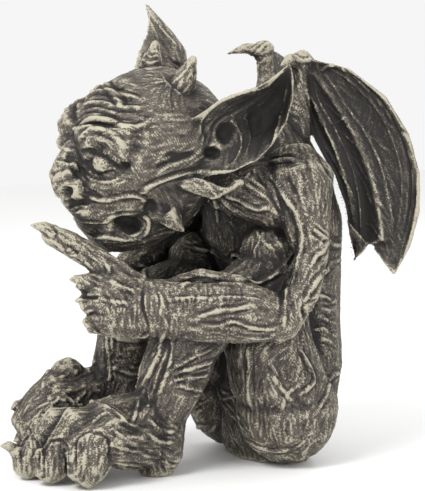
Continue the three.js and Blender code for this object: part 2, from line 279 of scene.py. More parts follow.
# Vertices near a line: which ones, how far they are, and how far along it
def nearLine(places, reach):
    points = np.array([list(p) for p in places])
    lo, hi = points.min(0) - reach, points.max(0) + reach
    found = np.nonzero(np.all((clay.place > lo) & (clay.place < hi), axis=1))[0]
    best = np.full(len(found), 1e9)
    along = np.zeros(len(found))
    spots = clay.place[found]
    lengths = np.linalg.norm(np.diff(points, axis=0), axis=1)
    total, done = max(lengths.sum(), 1e-6), 0.0
    for a, b, length in zip(points, points[1:], lengths):
        if length < 1e-6:
            continue
        t = np.clip(((spots - a) @ (b - a)) / length ** 2, 0, 1)
        gap = np.linalg.norm(spots - (a + t[:, None] * (b - a)), axis=1)
        closer = gap < best
        best[closer] = gap[closer]
        along[closer] = (done + t[closer] * length) / total
        done += length
    keep = best < reach
    return found[keep], best[keep], along[keep]


profiles = {
    "ridge": lambda u: np.clip(1 - (u / 1.3) ** 2, 0, 1) ** 2,
    "crest": lambda u: np.exp(-1.9 * u) - 0.1 * np.exp(-((u - 1.6) / 0.4) ** 2),
    "groove": lambda u: -np.exp(-(u / 0.8) ** 2) + 0.2 * np.exp(-((u - 1.6) / 0.45) ** 2),
    "fold": lambda u: 1.1 * np.exp(-(u / 0.9) ** 2) - 0.5 * np.exp(-((u - 1.7) / 0.5) ** 2),
}


def carve(line, kind, width, height, thin=False):
    places = [place for place, _ in line]
    found, gap, along = nearLine(places, width * laying["reach"])
    if not len(found):
        return
    push = profiles[kind](gap / width) * height
    push *= np.clip(np.minimum(along, 1 - along) * laying["taper"], laying["thinnest"], 1)
    push *= 1 + laying["uneven"] * np.cos(along * laying["waves"] + len(clay.strokes))
    if not thin:
        facing = np.array([sum((n for _, n in line), Vector((0, 0, 0))).normalized()])
        push *= np.clip((clay.normal[found] @ facing[0]) * 2.5 + 1.2, 0, 1)
    clay.shift[found] += clay.normal[found] * push[:, None]
    clay.strokes.append((places, width))


# Strokes in pixels of the photograph: kind, width and height in millimetres, spots
def carveAll(strokes, mirror=None, thin=False):
    clay.shift = np.zeros_like(clay.place)
    for kind, width, height, spots in strokes:
        for line in layOnSurface(curved(spots)):
            carve(line, kind, width, height, thin)
            if mirror:
                other = mirrorLine(line, mirror)
                if len(other) > 2:
                    carve(other, kind, width, height, thin)
    length = np.linalg.norm(clay.shift, axis=1, keepdims=True)
    clay.place += clay.shift * np.minimum(1, sculpt["mostStroke"] / np.maximum(length, 1e-9))


# A push or a hollow: middle in pixels, reach in millimetres along x and y of the picture, depth
def dabAll(dabs, onBothSides=False, thin=False):
    clay.shift = np.zeros_like(clay.place)
    for x, y, wide, tall, height in dabs:
        hit = surface.seen(x, y)
        if hit is None:
            continue
        spots = [(hit[0], Vector(viewRight), Vector(viewUp), hit[1])]
        if onBothSides:
            other = surface.nearest(mirrorHead(hit[0]))
            flip = headTurn @ Matrix.Diagonal((-1, 1, 1)) @ headTurn.inverted()
            if other:
                spots.append((other[0], flip @ viewRight, flip @ viewUp, other[1]))
        for place, right, upward, normal in spots:
            offset = clay.place - np.array(place)
            reach = max(wide, tall) * 1.5
            found = np.nonzero(np.abs(offset).max(1) < reach)[0]
            offset = offset[found]
            u = np.sqrt((offset @ np.array(right) / wide) ** 2 + (offset @ np.array(upward) / tall) ** 2)
            u = np.maximum(u, np.linalg.norm(offset, axis=1) / reach)
            push = np.clip(1 - u * u, 0, 1) ** 1.5 * height
            if not thin:
                push *= np.clip((clay.normal[found] @ np.array(normal)) * 2 + 1, 0, 1)
            clay.shift[found] += np.array(normal) * push[:, None]
    clay.place += clay.shift


clay.strokes = []

# Face: deep forms first
faceDabs = [
    (127, 224, 13, 7, -9), (151, 208, 7, 8, -5), (137, 143, 8, 14, -2.5), (67, 192, 6, 5, -6),
    (98, 124, 26, 4, -3.5), (99, 165, 9, 7, 1.2), (70, 158, 6, 6, -3), (126, 166, 5, 4, -4),
    (176, 156, 12, 5, -3), (84, 211, 8, 5, 2), (90, 128, 16, 5, 4), (120, 131, 14, 5, 2.5),
    (88, 152, 10, 4, -4), (58, 178, 6, 5, 2), (92, 184, 12, 6, 2), (172, 212, 7, 12, 2.5), (150, 190, 10, 8, 1.5),
    (120, 82, 13, 6, 1.8)]
earDabs = [(212, 153, 8, 6, -7), (225, 134, 9, 11, -6), (254, 122, 8, 15, -3), (224, 182, 10, 5, -4)]
faceStrokes = [
    ("groove", 1.5, 1.5, [(103, 86), (112, 90), (123, 89), (132, 84)]),
    ("fold", 2.6, 2.2, [(84, 102), (93, 94), (104, 91), (116, 93), (130, 97), (144, 100)]),
    ("fold", 2.4, 1.9, [(78, 112), (88, 104), (102, 103), (118, 107), (134, 108), (150, 107)]),
    ("groove", 2.0, 1.8, [(74, 121), (88, 112), (104, 113), (120, 118), (138, 120)]),
    ("fold", 2.4, 2.4, [(70, 132), (80, 124), (94, 119), (110, 121), (126, 127), (142, 125), (156, 116)]),
    ("fold", 2.2, 1.8, [(78, 141), (86, 133), (97, 130), (109, 133), (119, 140), (125, 151)]),
    ("crest", 1.3, 1.3, [(80, 143), (90, 148), (102, 149), (112, 156), (121, 163), (129, 168)]),
    ("groove", 1.7, 2.2, [(80, 147), (86, 152), (95, 154), (106, 157), (115, 165), (125, 171)]),
    ("groove", 1.5, 1.6, [(86, 162), (89, 170), (97, 173.5), (108, 172), (114, 169)]),
    ("crest", 1.2, 1.2, [(118, 148), (124, 158), (131, 166), (136, 175)]),
    ("crest", 1.2, 1.3, [(104, 152), (110, 159), (114, 167), (118, 172)]),
    ("fold", 1.3, 1.3, [(86, 166), (91, 173), (98, 176), (108, 175), (116, 171)]),
    ("fold", 1.3, 1.1, [(84, 173), (93, 180), (106, 182), (118, 179), (127, 173)]),
    ("fold", 1.8, 1.2, [(56, 169), (63, 163), (72, 164), (79, 172), (83, 183)]),
    ("groove", 1.4, 1.5, [(72, 168), (80, 177), (85, 188), (83, 198)]),
    ("fold", 2.0, 1.2, [(53, 184), (59, 175), (68, 172), (76, 180)]),
    ("fold", 1.8, 1.7, [(86, 194), (96, 199), (108, 200), (124, 197), (140, 197), (148, 206)]),
    ("fold", 2.2, 2.2, [(138, 196), (150, 186), (163, 180), (178, 175), (196, 172), (214, 170)]),
    ("groove", 2.4, 2.4, [(152, 173), (160, 166), (170, 161), (184, 156), (198, 152)]),
    ("groove", 1.3, 1.8, [(60, 214), (72, 206), (86, 202), (98, 202)]),
    ("groove", 1.1, 1.6, [(61, 218), (74, 211), (88, 207)]),
    ("groove", 1.0, 1.1, [(63, 221), (76, 216), (90, 211)]),
    ("fold", 1.5, 1.6, [(62, 216), (74, 219), (90, 222), (104, 222), (114, 216), (126, 213), (140, 214)]),
    ("fold", 1.7, 1.9, [(140, 214), (149, 222), (146, 233), (136, 240)]),
    ("fold", 1.7, 1.7, [(84, 231), (94, 237), (108, 237), (121, 240), (136, 240)]),
    ("crest", 1.5, 1.6, [(134, 246), (150, 238), (166, 232), (181, 232)]),
    ("crest", 1.4, 1.5, [(186, 230), (194, 214), (206, 203), (213, 196)]),
    ("crest", 1.3, 1.5, [(192, 178), (204, 182), (212, 192), (216, 196)]),
    ("crest", 1.2, 1.2, [(162, 188), (170, 198), (178, 210), (183, 226)]),
    ("crest", 1.2, 2.0, [(160, 74), (168, 85), (177, 92), (185, 98)]),
    ("crest", 1.0, 1.6, [(148, 77), (156, 79), (164, 80)]),
    ("crest", 1.0, 1.6, [(150, 84), (158, 83), (166, 82)]),
    ("crest", 1.0, 1.6, [(158, 95), (164, 89), (168, 84)]),
    ("crest", 1.0, 1.6, [(168, 99), (170, 92), (170, 86)]),
    ("crest", 1.0, 1.6, [(154, 70), (160, 74), (166, 81)]),
    ("crest", 1.0, 1.6, [(178, 100), (178, 95), (176, 90)]),
    ("crest", 1.1, 1.5, [(170, 86), (180, 77), (190, 66)]),
    ("crest", 1.1, 1.5, [(176, 90), (185, 81), (193, 70)]),
    ("crest", 1.1, 1.5, [(182, 94), (189, 86), (196, 76)])]
earStrokes = [
    ("crest", 1.7, 2.2, [(205, 142), (200, 131), (202, 119), (213, 107), (225, 99), (248, 91),
     (263, 87), (276, 77), (288, 64)]),
    ("groove", 1.6, 1.8, [(210, 142), (213, 126), (221, 117), (236, 110), (254, 100), (268, 90),
     (282, 74)]),
    ("crest", 1.4, 1.9, [(227, 119), (234, 123), (240, 134), (241, 148), (234, 162), (222, 169)]),
    ("crest", 1.3, 1.7, [(244, 116), (249, 126), (250, 139), (247, 151), (244, 159)]),
    ("crest", 1.0, 1.0, [(250, 139), (257, 137), (262, 133)]),
    ("crest", 1.6, 2, [(190, 174), (208, 172), (228, 171), (248, 165), (262, 157), (273, 142),
     (279, 126), (285, 102), (289, 80)]),
    ("crest", 1.4, 1.5, [(202, 179), (210, 186), (216, 194), (228, 191), (240, 183), (251, 172)])]

dabAll(faceDabs, onBothSides=True)
dabAll(earDabs, onBothSides=True, thin=True)
clay.smooth(1)
carveAll(faceStrokes, "head")
carveAll(earStrokes, "head")

# Arms, trunk and legs
trunkStrokes = [
    ("crest", 2.1, 3.6, [(265, 171), (276, 182), (285, 197), (297, 215), (302.5, 234), (301, 252),
     (296, 269), (289, 283), (285, 305), (284, 330)]),
    ("groove", 2.4, 2.2, [(272, 186), (281, 201), (291, 219), (296, 235), (294, 252), (288, 268)]),
    ("groove", 2.6, 2, [(252, 172), (266, 186), (275, 202), (288, 222)]),
    ("fold", 2.2, 1.8, [(262, 164), (273, 162), (285, 159), (297, 160)]),
    ("groove", 3.2, 2, [(285, 176), (292, 183), (297, 196)]),
    ("fold", 2, 1.8, [(213, 196), (222, 200), (231, 208), (240, 212)]),
    ("fold", 2, 1.8, [(213, 197), (217, 208), (219, 224)]),
    ("fold", 2, 1.8, [(214, 195), (232, 198), (256, 209), (272, 206)]),
    ("fold", 2, 1.6, [(240, 178), (254, 190), (268, 198)]),
    ("crest", 1.2, 2.3, [(257, 231), (260, 240), (255, 249), (255, 257)]),
    ("crest", 1.2, 2.3, [(260, 240), (266, 244), (273, 250), (276, 259)]),
    ("fold", 2, 2, [(248, 277), (256, 283), (268, 279), (282, 270)]),
    ("fold", 1.8, 1.8, [(190, 246), (202, 250), (214, 252), (222, 262)]),
    ("fold", 2, 1.8, [(180, 286), (200, 282), (224, 284), (247, 286)]),
    ("fold", 1.8, 1.6, [(193, 321), (208, 314), (221, 311), (240, 308), (252, 306), (262, 312)]),
    ("fold", 1.6, 1.5, [(196, 325), (218, 326), (234, 322), (256, 329), (282, 329)]),
    ("fold", 1.5, 1.4, [(165, 300), (190, 298), (214, 298), (238, 297), (262, 300)]),
    ("crest", 1.4, 1.4, [(220, 332), (244, 337), (266, 338), (282, 331)]),
    ("groove", 2.4, 3.2, [(302, 303), (305, 316), (308, 328), (312, 344)]),
    ("fold", 1.6, 1.6, [(308, 300), (320, 296), (332, 300)]),
    ("fold", 1.6, 1.6, [(310, 310), (321, 308), (331, 312)]),
    ("fold", 1.6, 1.6, [(311, 319), (322, 318), (330, 322)]),
    ("fold", 1.6, 1.6, [(313, 329), (323, 329), (331, 333)]),
    ("fold", 1.6, 1.6, [(315, 339), (324, 340), (332, 344)]),
    ("fold", 2.2, 2, [(303, 302), (311, 290), (319, 278), (330, 268)]),
    ("fold", 1.8, 1.8, [(314, 252), (321, 253), (326, 246), (330, 240)]),
    ("fold", 1.7, 1.6, [(312, 228), (322, 236), (334, 244), (341, 246)]),
    ("fold", 1.8, 1.6, [(310, 268), (316, 258), (321, 250), (323, 240)]),
    ("fold", 1.8, 1.5, [(322, 272), (332, 262), (342, 260)]),
    ("fold", 2.2, 1.5, [(247, 344), (249, 364), (249, 386), (249, 407)]),
    ("fold", 1.8, 1.8, [(297, 344), (306, 360), (314.5, 378.6), (306, 390), (296, 396)]),
    ("fold", 1.5, 1.3, [(270, 372), (280, 386), (286, 394), (296, 408)]),
    ("fold", 1.5, 1.3, [(302, 382), (292, 390), (286, 396), (282, 412)]),
    ("fold", 1.5, 1.2, [(222, 392), (230, 396), (238, 406)]),
    ("fold", 1.5, 1.2, [(224, 402), (232, 408), (240, 418)]),
    ("fold", 1.5, 1.2, [(229, 414), (237, 420), (244, 430)]),
    ("crest", 1.6, 1.6, [(217, 386), (222, 402), (228, 418), (234, 436)]),
    ("fold", 1.7, 1.4, [(246, 440), (266, 450), (290, 450), (312, 438)]),
    ("fold", 1.7, 1.3, [(330, 380), (326, 396), (316, 412)]),
    ("fold", 1.8, 1.6, [(344, 366), (338, 374), (326, 380)]),
    ("fold", 2, 1.8, [(162, 330), (160, 350), (150, 372), (138, 390)]),
    ("fold", 1.8, 1.6, [(172, 334), (172, 356), (164, 380), (156, 402)]),
    ("fold", 1.7, 1.6, [(150, 420), (160, 430), (176, 432)]),
    ("fold", 1.7, 1.6, [(148, 434), (160, 442), (176, 442)])]
carveAll(trunkStrokes, "body")

# Wings: bones, edge lines and forked veins, raised on both faces
wingStrokes = [
    ("crest", 1.9, 2, [(316, 52), (344, 60), (370, 78), (392, 100), (410, 134), (418, 172),
     (416, 214), (404, 258)]),
    ("groove", 1.3, 1.2, [(318, 60), (342, 68), (366, 86), (386, 108), (402, 140), (410, 174),
     (408, 214), (398, 252)]),
    ("crest", 1.3, 1.3, [(318, 64), (340, 74), (362, 92), (380, 114), (395, 146), (402, 178),
     (400, 214), (392, 246)]),
    ("crest", 1.8, 1.9, [(314, 62), (330, 80), (344, 103), (366, 134), (382, 170), (391, 212),
     (393, 240)]),
    ("crest", 1.8, 1.9, [(308, 66), (314, 84), (320, 103), (336, 131), (352, 167), (360, 209),
     (360, 246)]),
    ("crest", 1.5, 1.6, [(304, 72), (308, 100), (317, 131), (336, 165), (350, 200)]),
    ("crest", 0.9, 0.9, [(366, 134), (376, 140), (388, 152)]),
    ("crest", 0.9, 0.9, [(376, 156), (386, 170), (396, 190)]),
    ("crest", 0.9, 0.9, [(336, 131), (346, 136), (360, 150)]),
    ("crest", 0.9, 0.9, [(344, 150), (356, 162), (372, 190)]),
    ("crest", 0.9, 0.9, [(330, 84), (342, 88), (354, 100)]),
    ("crest", 0.9, 0.9, [(352, 167), (364, 184), (374, 210)]),
    ("crest", 0.9, 0.9, [(382, 170), (390, 182), (398, 206)]),
    ("crest", 0.9, 0.9, [(320, 103), (330, 108), (342, 120)])]
carveAll(wingStrokes, "body", thin=True)

# Pointing hand, its joints, tendons and fine cross wrinkles
handStrokes = [
    ("crest", 1.4, 1.4, [(57, 230), (77, 239), (97, 250), (117, 260), (134, 269), (148, 281)]),
    ("fold", 1.3, 1.2, [(41, 237), (55, 243), (67, 254), (80, 257), (89, 266)]),
    ("groove", 1.3, 1.6, [(61, 246), (70, 247), (81, 255)]),
    ("groove", 1.3, 1.6, [(88, 260), (95, 262), (102, 270)]),
    ("groove", 1.0, 1.2, [(55, 229), (57, 234), (54, 239)]),
    ("crest", 1.0, 1.0, [(40, 227), (48, 228), (54, 232)]),
    ("fold", 1.5, 1.4, [(106, 264), (109, 269), (108, 275)]),
    ("groove", 1.6, 2.2, [(78, 296), (89, 298), (100, 297)]),
    ("groove", 1.6, 2.2, [(80, 315), (90, 314), (100, 313)]),
    ("fold", 1.8, 1.6, [(109, 278), (124, 288), (141, 290)]),
    ("fold", 1.6, 1.4, [(97, 297), (110, 301), (134, 305)]),
    ("fold", 1.6, 1.3, [(94, 330), (108, 337), (134, 340), (150, 334)]),
    ("groove", 1.6, 1.5, [(145, 285), (142, 304), (150, 330)]),
    ("crest", 1.6, 1.4, [(191, 317), (211, 312), (231, 308)])]
for k in range(12):
    x, drop = 110 + k * 7 + 2 * math.sin(k * 2.3), 7 * math.sin(k * 1.7)
    slant = [(x, 294 + drop), (x + 3, 304 + drop), (x + 1 - drop / 3, 314), (x + 4, 322 + drop)]
    handStrokes.append(("fold", 1.0, 0.55, slant))
for k in range(7):
    x, drop = 196 + k * 8 + 2 * math.sin(k * 2.9), 4 * math.sin(k * 1.9)
    handStrokes.append(("fold", 1.0, 0.5, [(x, 287 - drop), (x + 2, 294), (x - 1 + drop / 2, 303 + drop)]))
carveAll(handStrokes)


# Rim round a nail, and the ribs that run down it
def nailStrokes(left, right, top, bottom, ribs):
    middle, half = (left + right) / 2, (right - left) / 2
    rim = [(left, bottom), (left, top + 12), (middle - half * 0.6, top + 3), (middle, top),
           (middle + half * 0.6, top + 3), (right, top + 12), (right, bottom)]
    strokes = [("groove", 1.3, 1.9, rim)]
    for k in range(ribs):
        x = left + (right - left) * (k + 1) / (ribs + 1)
        strokes.append(("crest", 0.9, 0.7, [(x, top + 8), (x + 1, (top + bottom) / 2), (x, bottom - 4)]))
    return strokes


footStrokes = nailStrokes(76, 109, 432, 484, 4)
footStrokes += nailStrokes(44, 69, 440, 480, 3)
footStrokes += nailStrokes(21, 39, 437, 473, 2)
footStrokes += [
    ("crest", 1.3, 1.6, [(84, 404), (68, 408), (50, 411), (33, 418)]),
    ("crest", 1.2, 1.4, [(60, 402), (46, 404), (34, 410)]),
    ("crest", 1.6, 1.6, [(165, 352), (158, 375), (150, 400), (140, 425)]),
    ("fold", 1.6, 1.5, [(120, 418), (130, 425), (150, 432)]),
    ("fold", 1.6, 1.5, [(130, 425), (136, 412), (139, 398)]),
    ("fold", 1.6, 1.5, [(104, 404), (116, 412), (130, 425)]),
    ("fold", 1.7, 1.5, [(165, 375), (188, 360), (215, 348)]),
    ("fold", 1.7, 1.5, [(166, 377), (190, 369), (215, 361)]),
    ("fold", 1.7, 1.5, [(167, 380), (190, 378), (212, 375)]),
    ("fold", 1.5, 1.3, [(167, 384), (188, 388), (205, 392)]),
    ("groove", 1.0, 1.2, [(148, 440), (158, 436), (170, 442)]),
    ("groove", 1.0, 1.2, [(150, 450), (162, 448), (176, 453)]),
    ("groove", 1.0, 1.2, [(152, 461), (164, 460), (178, 466)]),
    ("groove", 1.0, 1.2, [(160, 436), (163, 449), (161, 462), (166, 474)]),
    ("fold", 1.5, 1.3, [(112, 430), (124, 436), (140, 438)]),
    ("fold", 1.5, 1.3, [(114, 446), (128, 450), (146, 452)]),
    ("fold", 1.5, 1.3, [(114, 462), (128, 464), (146, 466)]),
    ("fold", 1.4, 1.2, [(92, 424), (100, 416), (112, 412)])]
carveAll(footStrokes, "body")
warts = [(48, 372), (58, 364), (70, 360), (83, 358), (95, 362), (62, 378), (75, 372), (88, 370),
    (100, 377), (70, 390), (84, 386),
         (98, 391), (110, 398), (56, 388), (44, 384), (78, 400), (92, 402), (105, 410), (64, 400), (50, 398)]
dabAll([(x, y, 3.4, 3, 1.9) for x, y in warts])

# Knuckles of the wing, ribs of the horns and the far ear
crownStrokes = [
    ("fold", 1.3, 1.3, [(140, 66), (151, 70), (163, 67)]),
    ("fold", 1.2, 1.1, [(142, 60), (151, 63), (160, 60)]),
    ("fold", 1.1, 1.0, [(146, 54), (152, 57), (158, 54)]),
    ("crest", 1.1, 1.1, [(143, 8), (150, 20), (156, 34), (160, 48)]),
    ("crest", 1.0, 1.0, [(148, 9), (158, 24), (168, 38), (176, 52)]),
    ("crest", 1.0, 1.0, [(152, 16), (166, 34), (180, 48)]),
    ("crest", 1.0, 1.0, [(142, 20), (144, 36), (140, 50)]),
    ("groove", 1.6, 1.8, [(168, 56), (174, 62), (182, 66)])]
carveAll(crownStrokes)
wingRoot = [
    ("fold", 1.6, 1.6, [(292, 54), (300, 60), (312, 60)]),
    ("fold", 1.6, 1.5, [(320, 72), (328, 66), (336, 66)]),
    ("crest", 1.2, 1.3, [(335, 67), (352, 74), (371, 87), (387, 102), (403, 119), (412, 136),
     (415, 154)]),
    ("crest", 1.0, 1.0, [(364, 128), (368, 121), (371, 116)]),
    ("crest", 1.0, 1.0, [(366, 137), (371, 128), (373, 119)]),
    ("crest", 1.0, 1.0, [(334, 125), (340, 121), (345, 117)]),
    ("crest", 1.0, 1.0, [(383, 119), (393, 128), (403, 136)]),
    ("crest", 1.5, 1.6, [(320, 143), (332, 157), (343, 177), (351, 192), (355, 205), (352, 211)]),
    ("groove", 1.4, 1.6, [(312, 139), (320, 160), (331, 178), (343, 197)]),
    ("crest", 1.2, 1.2, [(360, 224), (371, 226), (380, 237), (386, 243), (389, 257)])]
carveAll(wingRoot, "body", thin=True)
clay.refresh()
print("strokes carved:", len(clay.strokes))

# Which way the fibres of the finish run: along limbs, and along every stroke nearby
limbLines = [
    [(-14, 86, 40), (-14, 86, 160), (-14, 76, 240)], [(-14, 60, 262), (-14, -2, 268)],
    [(32, 74, 56), (34, 46, 184)], [(-60, 74, 56), (-62, 36, 168)],
    [(34, 34, 168), (18, -42, 80), (10, -51, 14)], [(-62, 26, 154), (-82, -38, 78), (-86, -50, 14)],
    [(12, -74, 40), (6, -120, 34), (2, -150, 16)], [(-88, -70, 46), (-94, -112, 34), (-98, -140, 20)],
    [(52, 60, 246), (74, 52, 182), (79, 26, 130)],
    [(79, 26, 130), (52, -32, 140), (22, -76, 144), (4, -100, 146)],
    [(-80, 56, 246), (-102, 12, 184), (-106, -28, 144)],
    [(-106, -28, 144), (-44, -54, 142), (20, -32, 150)],
    [(20, -70, 156), (-23, -132, 206)]]


def flowTensor():
    tensor = np.zeros((len(clay.place), 3, 3))
    for line in limbLines:
        for a, b in zip(line, line[1:]):
            a, b = np.array(a, float), np.array(b, float)
            t = np.clip(((clay.place - a) @ (b - a)) / ((b - a) @ (b - a)), 0, 1)
            gap = np.linalg.norm(clay.place - a - t[:, None] * (b - a), axis=1)
            way = (b - a) / np.linalg.norm(b - a)
            tensor += (1 / (gap ** 2 + 100) ** 2 * 1e4)[:, None, None] * np.outer(way, way)
    for places, width in clay.strokes:
        found, gap, _ = nearLine(places[::2] if len(places) > 5 else places, 9)
        way = np.array(places[-1] - places[0])
        way /= max(np.linalg.norm(way), 1e-6)
        tensor[found] += (3 * np.exp(-(gap / 5) ** 2))[:, None, None] * np.outer(way, way)
    return tensor


# Random marks drawn out along the flow: sinews that fork and join, and fine fibres between them
fibres = dict(step=2.3, sinewHeight=0.42, sinewWidth=0.4, fibreHeight=0.12, pebbleHeight=0.05,
              sheet=9, face=74, faceEdge=14)


def flowWay():
    _, axes = np.linalg.eigh(flowTensor())
    way = axes[:, :, 2]
    way -= clay.normal * np.sum(way * clay.normal, axis=1, keepdims=True)
    return way / np.maximum(np.linalg.norm(way, axis=1, keepdims=True), 1e-6)


def neighboursAlong(way):
    tree = KDTree(len(clay.place))
    for k, spot in enumerate(clay.place):
        tree.insert(spot, k)
    tree.balance()
    ahead = np.array([tree.find(spot)[1] for spot in clay.place + way * fibres["step"]])
    behind = np.array([tree.find(spot)[1] for spot in clay.place - way * fibres["step"]])
    return ahead, behind


def spread(values, times):
    for _ in range(times):
        values = clay.average(values)
    return values


def drawnOut(values, times):
    for _ in range(times):
        values = 0.5 * values + 0.25 * (values[ahead] + values[behind])
    return values


def even(values):
    return (values - values.mean()) / values.std()


# Thin sheets, which are the wings and ears, keep a calmer skin, and so does the face
def calmPlaces():
    spots, normals = clay.place * mm, clay.normal
    sheet = np.zeros(len(spots))
    for k, (spot, normal) in enumerate(zip(spots, normals)):
        start = Vector(spot - normal * 0.0004)
        inside = surface.tree.ray_cast(start, Vector(-normal), fibres["sheet"] * mm)
        sheet[k] = inside[0] is not None
    sheet = spread(sheet, 12)
    gap = np.linalg.norm((clay.place - np.array(headMiddle)) / np.array((1, 1, 1.1)), axis=1)
    face = np.clip((fibres["face"] - gap) / fibres["faceEdge"], 0, 1)
    return sheet, face


# How open each spot is to the air, which the material turns into painted shade in closed-in hollows: a share of
# the spots send out rays, and the rest are filled in from them
air = dict(every=7, rays=14, reach=75)


def openness():
    ways = chance.standard_normal((air["rays"], 3))
    ways = [Vector(way / np.linalg.norm(way)) for way in ways]
    chosen = np.arange(0, len(clay.place), air["every"])
    free, known = np.zeros(len(clay.place)), np.zeros(len(clay.place))
    known[chosen] = 1
    for k in chosen:
        normal = Vector(clay.normal[k])
        spot = Vector(clay.place[k] * mm) + normal * 0.001
        reach = air["reach"] * mm
        hits = [surface.tree.ray_cast(spot, (way + normal).normalized(), reach)[0] for way in ways]
        free[k] = sum(hit is None for hit in hits) / len(ways)
    return spread(free, 12) / np.maximum(spread(known, 12), 1e-6)


clay.write()
surface = Surface(casting)
ahead, behind = neighboursAlong(flowWay())
chance = np.random.default_rng(sculpt["seed"])
sheet, face = calmPlaces()
free = openness()
sinewBase = drawnOut(spread(chance.standard_normal(len(clay.place)), 4), 12)
sinewBase = even(sinewBase - spread(sinewBase, 26))
sinews = np.exp(-(sinewBase / fibres["sinewWidth"]) ** 2)
fineBase = spread(drawnOut(chance.standard_normal(len(clay.place)), 3), 1)
grain = np.clip(even(fineBase - spread(fineBase, 6)), -2.4, 2.4)
pebbleBase = chance.standard_normal(len(clay.place))
pebble = np.clip(even(pebbleBase - spread(pebbleBase, 2)), -2, 2)
swell = np.clip(even(spread(chance.standard_normal(len(clay.place)), sculpt["swellSpread"])), -2, 2)
calm = np.clip(1 - 0.7 * sheet - 0.8 * face, 0.15, 1)
lift = fibres["sinewHeight"] * (sinews - 0.35) * calm + fibres["fibreHeight"] * grain * (0.35 + 0.65 * calm)
lift += fibres["pebbleHeight"] * pebble + sculpt["swell"] * swell * calm
clay.place += clay.normal * lift[:, None]
clay.refresh()
print("sinews and fibres drawn")

# Spikes at thin edges are drawn back to their neighbours
spikes = 0
for _ in range(sculpt["spikeRounds"]):
    gap = clay.average(clay.place) - clay.place
    loose = np.linalg.norm(gap, axis=1) > sculpt["spike"]
    clay.place[loose] += gap[loose]
    spikes += int(loose.sum())
clay.refresh()
print("spikes drawn back:", spikes)

# Keep within the solid's box, with a flat underside
clay.place = np.clip(clay.place, np.array(cadLow) / mm, np.array(cadHigh) / mm)


# How far each spot stands out of its surroundings, at three sizes
def standsOut():
    place, total = clay.place, []
    done = 0
    for times in (3, 22, 120):
        for _ in range(times - done):
            place = clay.average(place)
        done = times
        height = np.sum((clay.place - place) * clay.normal, axis=1)
        total.append(np.clip(height / (height.std() + 1e-9), -3, 3))
    return total


small, middle, large = standsOut()
# The brush catches raised spots at the smaller sizes; the largest size also paints form shading, lighter on broad
# bulges and darker in broad hollows
catch = 0.4 * small + 0.65 * middle + 0.42 * large - 0.3 * sheet


def addValues(name, values, kind="FLOAT", field="value"):
    layer = casting.data.attributes.new(name, kind, "POINT")
    layer.data.foreach_set(field, values.astype(np.float32).ravel())


addValues("relief", catch)
addValues("fibre", 0.9 * grain + 0.15 * pebble)
# Openness, which the material turns into painted shade in closed-in hollows
addValues("open", free)
addValues("shading", clay.normal, "FLOAT_VECTOR", "vector")
clay.write()

# The sculpture is cut at level planes into closed pieces, lowest first, that keep the shading of the whole
bands = dict(feetAndSeat=58, shinsAndHips=125, armsAndBack=187, jawAndShoulders=247, browsAndEars=300,
             hornsAndWings=400)


def cutAt(height, keepAbove):
    bpy.ops.mesh.select_all(action="SELECT")
    bpy.ops.mesh.bisect(plane_co=(0, 0, height * mm), plane_no=(0, 0, 1), use_fill=True,
                        clear_inner=keepAbove, clear_outer=not keepAbove)


def cutPiece(name, bottom, top):
    piece = bpy.data.objects.new(name, casting.data.copy())
    bpy.context.collection.objects.link(piece)
    selectOnly(piece)
    bpy.ops.object.mode_set(mode="EDIT")
    if bottom > 0:
        cutAt(bottom, True)
    if top < list(bands.values())[-1]:
        cutAt(top, False)
    bpy.ops.object.mode_set(mode="OBJECT")
    bpy.ops.object.shade_smooth()
    mesh = piece.data
    normals = np.empty(len(mesh.vertices) * 3, dtype=np.float32)
    mesh.attributes["shading"].data.foreach_get("vector", normals)
    mesh.attributes.remove(mesh.attributes["shading"])
    normals = normals.reshape(-1, 3)
    normals /= np.maximum(np.linalg.norm(normals, axis=1, keepdims=True), 1e-9)
    mesh.normals_split_custom_set_from_vertices(normals)
    print(name, "triangles:", sum(len(polygon.vertices) - 2 for polygon in mesh.polygons))
    return piece


pieces, bottom = [], 0
for name, top in bands.items():
    pieces.append(cutPiece(name, bottom, top))
    bottom = top
bpy.data.objects.remove(casting)


# Shader sockets with arithmetic
class Wire:
    def __init__(self, tree, socket):
        self.tree, self.socket = tree, socket

    def math(self, operation, a, b=None):
        node = self.tree.nodes.new("ShaderNodeMath")
        node.operation = operation
        for slot, value in zip(node.inputs, (a, b)):
            if isinstance(value, Wire):
                self.tree.links.new(value.socket, slot)
            elif value is not None:
                slot.default_value = value
        return Wire(self.tree, node.outputs[0])

    def __add__(self, other):
        return self.math("ADD", self, other)

    def __radd__(self, other):
        return self.math("ADD", other, self)

    def __sub__(self, other):
        return self.math("SUBTRACT", self, other)

    def __rsub__(self, other):
        return self.math("SUBTRACT", other, self)

    def __mul__(self, other):
        return self.math("MULTIPLY", self, other)

    def __rmul__(self, other):
        return self.math("MULTIPLY", other, self)

    def ramp(self, low, high):
        return self.node("ShaderNodeMapRange", {"interpolation_type": "SMOOTHSTEP"},
                         {"Value": self, "From Min": low, "From Max": high}, "Result")

    def node(self, kind, settings, values, output=0):
        node = self.tree.nodes.new(kind)
        for key, value in settings.items():
            setattr(node, key, value)
        for key, value in values.items():
            if isinstance(value, Wire):
                self.tree.links.new(value.socket, node.inputs[key])
            else:
                node.inputs[key].default_value = value
        return Wire(self.tree, node.outputs[output])

    def mix(self, a, b, how="MIX"):
        return self.node("ShaderNodeMix", {"data_type": "RGBA", "blend_type": how}, {0: self, 6: a, 7: b}, 2)


# The darkest colour is painted shade in closed-in hollows and dark wash in cavities; the mid tone is wear on
# raised spots and painted light on open ones; the palest is dry-brushed highlight on ridges
finish = dict(hollowShadeAndWash=(0.006, 0.005, 0.004), body=(0.035, 0.028, 0.023), wornAndLit=(0.096, 0.082, 0.064),
              brushed=(0.40, 0.368, 0.28), dull=0.68, satin=0.50, pits=1500, speck=760,
              mottle=55, crackle=330, warp=0.0016, bump=0.5, bumpDepth=0.0007)
